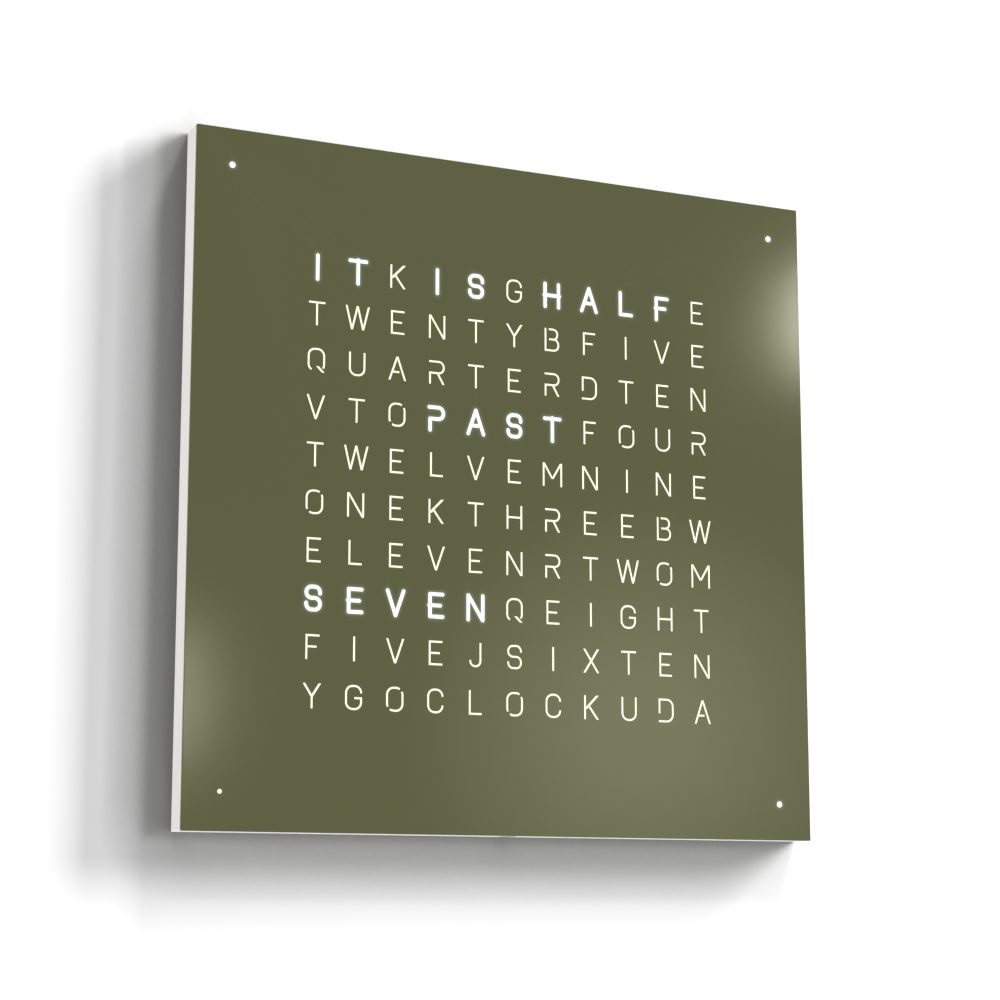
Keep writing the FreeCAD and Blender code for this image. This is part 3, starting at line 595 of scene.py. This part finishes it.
lines_x = sheet_lines(column_pitch, columns, sheet_high.x, 0)
rows_middle = (row_middle(0) + row_middle(len(dial) - 1)) / 2
lines_z = sheet_lines(row_pitch, len(dial), sheet_high.z, rows_middle)
build = bmesh.new()
opal_points = [[build.verts.new((x, sheet_low.y, z)) for x in lines_x] for z in lines_z]
lit_faces = []
for upper in range(1, len(lines_z)):
    for right in range(1, len(lines_x)):
        face = build.faces.new([opal_points[upper - 1][right - 1], opal_points[upper - 1][right],
                                opal_points[upper][right], opal_points[upper][right - 1]])
        middle = face.calc_center_median()
        row = round((row_middle(0) - middle.z) / row_pitch)
        column = round(middle.x / column_pitch + (columns - 1) / 2)
        by_corner = [Vector((middle.x - across * point_reach, middle.z - up * point_reach)).length
                     for across, up in lit_corners]
        if (row, column) in lit_cells:
            offset = Vector((middle.x, middle.z)) - cell_middle(row, column)
            lit_faces.append(1 - lamp_falloff * (offset.length / row_pitch) ** 2)
        elif min(by_corner) < corner_light_reach:
            lit_faces.append(1.0)
        else:
            lit_faces.append(0.0)
walls = bmesh.ops.extrude_face_region(build, geom=list(build.faces))
rear_points = [item for item in walls["geom"] if isinstance(item, bmesh.types.BMVert)]
bmesh.ops.translate(build, vec=(0, sheet_high.y - sheet_low.y, 0), verts=rear_points)
bmesh.ops.recalc_face_normals(build, faces=build.faces)
opal_mesh = bpy.data.meshes.new("opal_sheet")
build.to_mesh(opal_mesh)
build.free()
lamp_light = opal_mesh.attributes.new("lamp_light", "FLOAT", "FACE")
front_levels = lit_faces + [0.0] * (len(opal_mesh.polygons) - len(lit_faces))
lamp_light.data.foreach_set("value", front_levels)

opal, tree, shader, place = new_finish("opal_acrylic", (0.90, 0.905, 0.70), 0.5)
shade_by(tree, grain(tree, place, 3 * mm), 0.01, shader)
raise_by(tree, grain(tree, place, 0.3 * mm), 0.01 * mm, shader)
on = tree.nodes.new("ShaderNodeAttribute")
on.attribute_name = "lamp_light"
tint = tree.nodes.new("ShaderNodeMix")
tint.data_type = "RGBA"
tint.inputs["A"].default_value = (0.9, 0.92, 0.72, 1)
tint.inputs["B"].default_value = (1, 1, 1, 1)
tree.links.new(on.outputs["Fac"], tint.inputs["Factor"])
tree.links.new(tint.outputs["Result"], shader.inputs["Emission Color"])
# Where no lamp is on, the lowest strength of 0.45 is a painted glow.
power = tree.nodes.new("ShaderNodeMapRange")
power.inputs["To Min"].default_value = 0.45
power.inputs["To Max"].default_value = 1.8
tree.links.new(on.outputs["Fac"], power.inputs["Value"])
tree.links.new(power.outputs["Result"], shader.inputs["Emission Strength"])
opal_mesh.materials.append(opal)
opal_piece = bpy.data.objects.new("opal_diffuser", opal_mesh)
scene.collection.objects.link(opal_piece)
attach(opal_piece, "clock")
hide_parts("diffuser_sheet")


# The light grid is one white moulding with a spark-textured surface.
# It sits on the rear panel and keeps each lamp's light behind its own letter.
moulded, tree, shader, place = new_finish("white_moulding", (0.8, 0.8, 0.78), 0.55)
shade_by(tree, grain(tree, place, 20 * mm), 0.03, shader)
raise_by(tree, grain(tree, place, 0.35 * mm), 0.02 * mm, shader)
coat(moulded, "light_grid")


# The lamp strips and minute boards are thin circuit boards with a white solder mask.
# Each lamp is a moulded package with a yellow phosphor face, soldered to its strip.
mask, tree, shader, place = new_finish("white_solder_mask", (0.86, 0.87, 0.85), 0.3)
shade_by(tree, grain(tree, place, 4 * mm), 0.04, shader)
raise_by(tree, grain(tree, place, 0.8 * mm), 0.01 * mm, shader)
package, tree, shader, place = new_finish("lamp_package", (0.85, 0.8, 0.55), 0.3)
shade_by(tree, grain(tree, place, 2 * mm), 0.05, shader)
raise_by(tree, grain(tree, place, 0.5 * mm), 0.01 * mm, shader)
for row in range(len(dial)):
    coat(mask, f"lamp_strip_{row + 1:02d}")
    coat(package, f"lamps_row_{row + 1:02d}")
for corner in ("top_left", "top_right", "bottom_left", "bottom_right"):
    coat(mask, f"minute_board_{corner}")
coat(package, "minute_lamps")


# The leads and the ribbon cable are copper strands in a grey extruded jacket.
# They lie flat on the rear panel in grooves of the grid and the casing.
jacket, tree, shader, place = new_finish("grey_jacket", (0.35, 0.36, 0.37), 0.45)
strands = grain(tree, place, 1.27 * mm, 0, (1, 1, 0.02))
shade_by(tree, strands, 0.12, shader)
raise_by(tree, strands, 0.1 * mm, shader)
coat(jacket, "strip_links", "minute_leads", "ribbon_cable")


# The rear panel is aluminium sheet, brushed along its width and clear anodised.
# It is level with the casing, and carries the strips, the grid, the board and the two keyholes.
brushed, tree, shader, place = new_finish("brushed_aluminium", (0.5, 0.51, 0.52), 0.38)
shader.inputs["Metallic"].default_value = 1.0
lay = grain(tree, place, 0.5 * mm, 4, (0.012, 1, 1))
shade_by(tree, lay, 0.22, shader)
raise_by(tree, lay, 0.01 * mm, shader)
tree.links.new(spread(tree, lay, 0.3, 0.46), shader.inputs["Roughness"])
coat(brushed, "rear_panel")


# The screws are zinc-plated steel with a cross recess; the backup cell is a pressed steel can.
# Plating leaves a faint cloudiness on both.
plated, tree, shader, place = new_finish("zinc_plate", (0.6, 0.6, 0.59), 0.28)
shader.inputs["Metallic"].default_value = 1.0
shade_by(tree, grain(tree, place, 1.5 * mm), 0.12, shader)
tree.links.new(spread(tree, grain(tree, place, 0.7 * mm), 0.22, 0.38), shader.inputs["Roughness"])
coat(plated, "panel_screws", "board_screws", "coin_cell", "capacitor")


# The magnets are nickel-plated discs, pressed into the rim of the casing.
# Only their faces show when the cover is off.
nickel, tree, shader, place = new_finish("nickel_plate", (0.72, 0.7, 0.66), 0.16)
shader.inputs["Metallic"].default_value = 1.0
shade_by(tree, grain(tree, place, 2.5 * mm), 0.06, shader)
tree.links.new(spread(tree, grain(tree, place, 1.2 * mm), 0.12, 0.22), shader.inputs["Roughness"])
coat(nickel, "magnets")


# The controller board is glass laminate under a green solder mask.
# Its spacers and the pin of the power jack are turned brass.
laminate, tree, shader, place = new_finish("green_laminate", (0.02, 0.14, 0.06), 0.35)
shade_by(tree, grain(tree, place, 1 * mm), 0.2, shader)
raise_by(tree, grain(tree, place, 0.6 * mm), 0.01 * mm, shader)
coat(laminate, "controller_board")
brass, tree, shader, place = new_finish("turned_brass", (0.78, 0.6, 0.3), 0.25)
shader.inputs["Metallic"].default_value = 1.0
shade_by(tree, grain(tree, place, 0.8 * mm), 0.1, shader)
tree.links.new(spread(tree, grain(tree, place, 0.4 * mm), 0.2, 0.35), shader.inputs["Roughness"])
coat(brass, "board_spacers", "power_pin")


# The jack, the chips, the cell holder, the strip plug and the switches are black mouldings.
# All have the fine matt surface of a spark-eroded mould.
black, tree, shader, place = new_finish("black_moulding", (0.02, 0.02, 0.022), 0.5)
shade_by(tree, grain(tree, place, 0.5 * mm), 0.25, shader)
raise_by(tree, grain(tree, place, 0.25 * mm), 0.015 * mm, shader)
coat(black, "power_jack", "microcontroller", "timekeeper_chip", "cell_holder", "strip_plug")
setting_keys = ("brightness", "hour", "minute")
for use in setting_keys:
    coat(black, f"{use}_switch")


# The three setting buttons are satin mouldings in the colour of the casing, a little greyer.
# Each stands just inside its bore in the underside, and presses the nub of its switch.
key, tree, shader, place = new_finish("button_moulding", (0.62, 0.61, 0.58), 0.4)
shade_by(tree, grain(tree, place, 2 * mm), 0.03, shader)
raise_by(tree, grain(tree, place, 0.3 * mm), 0.01 * mm, shader)
for use in setting_keys:
    coat(key, f"{use}_button", f"{use}_switch_nub")


# The wall is a white studio wall that shows only from the room, and the clock lies flat on it.
# It takes the clock's soft shadow, and lets light and other views pass from behind.
# Close to the clock, on the sides that are turned away from the light, it is darker by painted shade.
wall_half = 6.0
wall_gap = 0.3 * mm
way_to_light = (0.72, -0.52, 0.42)
shade_reach = 45 * mm
shade_power = 1.4
own_light = 0.06
wall_mesh = bpy.data.meshes.new("studio_wall")
wall_mesh.from_pydata(
    [(-wall_half, wall_gap, -wall_half), (wall_half, wall_gap, -wall_half),
     (wall_half, wall_gap, wall_half), (-wall_half, wall_gap, wall_half)], [], [(0, 1, 2, 3)])
white = bpy.data.materials.new("studio_white")
white.use_nodes = True
tree = white.node_tree
tree.nodes.clear()
matt = tree.nodes.new("ShaderNodeBsdfDiffuse")
# Painted shade: the occlusion towards the light, raised to a power, darkens the wall's colour and its faint
# own light near the clock.
painted_shade_occlusion = tree.nodes.new("ShaderNodeAmbientOcclusion")
towards_light = tree.nodes.new("ShaderNodeCombineXYZ")
for axis, share in enumerate(way_to_light):
    towards_light.inputs[axis].default_value = share
tree.links.new(towards_light.outputs["Vector"], painted_shade_occlusion.inputs["Normal"])
painted_shade_occlusion.inputs["Distance"].default_value = shade_reach
painted_contact_shade = tree.nodes.new("ShaderNodeMath")
painted_contact_shade.operation = "POWER"
painted_contact_shade.inputs[1].default_value = shade_power
tree.links.new(painted_shade_occlusion.outputs["AO"], painted_contact_shade.inputs[0])
tree.links.new(painted_contact_shade.outputs["Value"], matt.inputs["Color"])
lift = tree.nodes.new("ShaderNodeEmission")
lift.inputs["Strength"].default_value = own_light
tree.links.new(painted_contact_shade.outputs["Value"], lift.inputs["Color"])
both = tree.nodes.new("ShaderNodeAddShader")
clear = tree.nodes.new("ShaderNodeBsdfTransparent")
choice = tree.nodes.new("ShaderNodeMixShader")
ray = tree.nodes.new("ShaderNodeLightPath")
facing = tree.nodes.new("ShaderNodeNewGeometry")
front_only = tree.nodes.new("ShaderNodeMath")
front_only.operation = "SUBTRACT"
front_only.use_clamp = True
out = tree.nodes.new("ShaderNodeOutputMaterial")
tree.links.new(ray.outputs["Is Camera Ray"], front_only.inputs[0])
tree.links.new(facing.outputs["Backfacing"], front_only.inputs[1])
tree.links.new(front_only.outputs["Value"], choice.inputs["Fac"])
tree.links.new(matt.outputs["BSDF"], both.inputs[0])
tree.links.new(lift.outputs["Emission"], both.inputs[1])
tree.links.new(clear.outputs["BSDF"], choice.inputs[1])
tree.links.new(both.outputs["Shader"], choice.inputs[2])
tree.links.new(choice.outputs["Shader"], out.inputs["Surface"])
wall_mesh.materials.append(white)
wall = bpy.data.objects.new("studio_wall", wall_mesh)
scene.collection.objects.link(wall)


# The camera stands left of the clock and a little below it, as in the photograph.
# Its place and lens were found from the corners of the clock.
camera_place = Vector((-0.6587, -1.4151, -0.278))
camera_way = Vector((0.4148, 0.8929, 0.175))
camera_data = bpy.data.cameras.new("camera")
camera_data.sensor_width = 36
camera_data.lens = 84.9
camera = bpy.data.objects.new("camera", camera_data)
camera.location = camera_place
camera.rotation_mode = "QUATERNION"
camera.rotation_quaternion = camera_way.to_track_quat("-Z", "Y")
scene.collection.objects.link(camera)
scene.camera = camera


# The studio lights are soft and stand mostly at the upper right, so the shadow falls to the lower left.
# Two stand low over the wall and light it alone; one in front lights the clock alone.
# Small sheen lights stand where the camera sees them mirrored in the coat, and one light stands behind.
clock_middle = (0, 0, 0)
studio_reach = 8


def soft_light(name, place, aim, width, height, power):
    """A lamp with a width and height in metres and a power in watts, aimed at a point."""
    data = bpy.data.lights.new(name, "AREA")
    data.shape = "RECTANGLE"
    data.size = width
    data.size_y = height
    data.energy = power
    lamp = bpy.data.objects.new(name, data)
    lamp.location = place
    lamp.rotation_mode = "QUATERNION"
    lamp.rotation_quaternion = (Vector(aim) - Vector(place)).to_track_quat("-Z", "Y")
    scene.collection.objects.link(lamp)
    return lamp


def over_wall(turn, rise, distance):
    """A place by its turn from right to top and its rise off the wall in degrees, and its distance."""
    turn, rise = math.radians(turn), math.radians(rise)
    along_wall = math.cos(rise)
    return distance * Vector((along_wall * math.cos(turn), -math.sin(rise), along_wall * math.sin(turn)))


def mirror_light(name, across, up, width, height, power, distance):
    """A soft light that the camera sees mirrored at a spot of the front, or just beside it."""
    spot = Vector((across, sheet_front, up))
    way = (spot - camera_place).normalized()
    mirrored = Vector((way.x, -way.y, way.z))
    lamp = soft_light(name, spot + mirrored * distance, spot, width, height, power)
    lamp.data.shape = "ELLIPSE"
    lamp.visible_diffuse = False


def link_to_wall(lamp, state):
    """Let a lamp light the wall alone, with INCLUDE, or all but the wall, with EXCLUDE."""
    linked = bpy.data.collections.new(f"{lamp.name}_linking")
    linked.objects.link(wall)
    linked.collection_objects[0].light_linking.link_state = state
    lamp.light_linking.receiver_collection = linked


key_right = soft_light("key_right", over_wall(28, 15, studio_reach), clock_middle, 1.12, 4, 1370)
key_top = soft_light("key_top", over_wall(72, 15, studio_reach), clock_middle, 1.36, 1.36, 425)
front = soft_light("front", over_wall(60, 50, studio_reach), clock_middle, 2.5, 2.5, 612)
link_to_wall(key_right, "INCLUDE")
link_to_wall(key_top, "INCLUDE")
link_to_wall(front, "EXCLUDE")
fill = soft_light("fill", over_wall(8, 48, studio_reach), clock_middle, 2.1, 2.1, 172)
soft_light("left_side", over_wall(178, 2.2, 2.2), (-half_side, 0, 0), 0.12, 0.7, 32)
soft_light("below", over_wall(-96, 14, 2.1), (0, 0, -half_side), 0.7, 0.3, 26)
behind = soft_light("behind", (0.7, 2.2, 0.9), clock_middle, 1.6, 1.6, 60)
for lamp in (front, fill, behind):
    lamp.visible_glossy = False
mirror_light("sheen_right", 0.240, 0.146, 0.085, 0.16, 0.86, 1.6)
mirror_light("sheen_left", -0.234, -0.142, 0.08, 0.19, 0.40, 1.6)
# the low sheen fades outwards, so three round lamps stand one before another
for name, across, power, distance in (("sheen_low", 0.54, 0.72, 1.6), ("sheen_low_inner", 0.36, 0.34, 1.55),
                                      ("sheen_low_middle", 0.20, 0.11, 1.5)):
    mirror_light(name, 0.092, -0.150, across, across, power, distance)


# The surroundings are plain white where the camera, gloss and clear pieces show them.
# They light nothing else, or next to nothing, so the lamps alone set the level.
studio = bpy.data.worlds.new("studio")
studio.use_nodes = True
tree = studio.node_tree
tree.nodes.clear()
seen = tree.nodes.new("ShaderNodeBackground")
seen.inputs["Color"].default_value = (1, 1, 1, 1)
seen.inputs["Strength"].default_value = 1.0
felt = tree.nodes.new("ShaderNodeBackground")
felt.inputs["Color"].default_value = (1, 1, 1, 1)
felt.inputs["Strength"].default_value = 0.02
ray = tree.nodes.new("ShaderNodeLightPath")
choice = tree.nodes.new("ShaderNodeMixShader")
out = tree.nodes.new("ShaderNodeOutputWorld")
shown_to = ray.outputs["Is Camera Ray"]
for kind in ("Is Glossy Ray", "Is Transmission Ray"):
    either = tree.nodes.new("ShaderNodeMath")
    either.operation = "MAXIMUM"
    tree.links.new(shown_to, either.inputs[0])
    tree.links.new(ray.outputs[kind], either.inputs[1])
    shown_to = either.outputs["Value"]
tree.links.new(shown_to, choice.inputs["Fac"])
tree.links.new(felt.outputs["Background"], choice.inputs[1])
tree.links.new(seen.outputs["Background"], choice.inputs[2])
tree.links.new(choice.outputs["Shader"], out.inputs["Surface"])
scene.world = studio
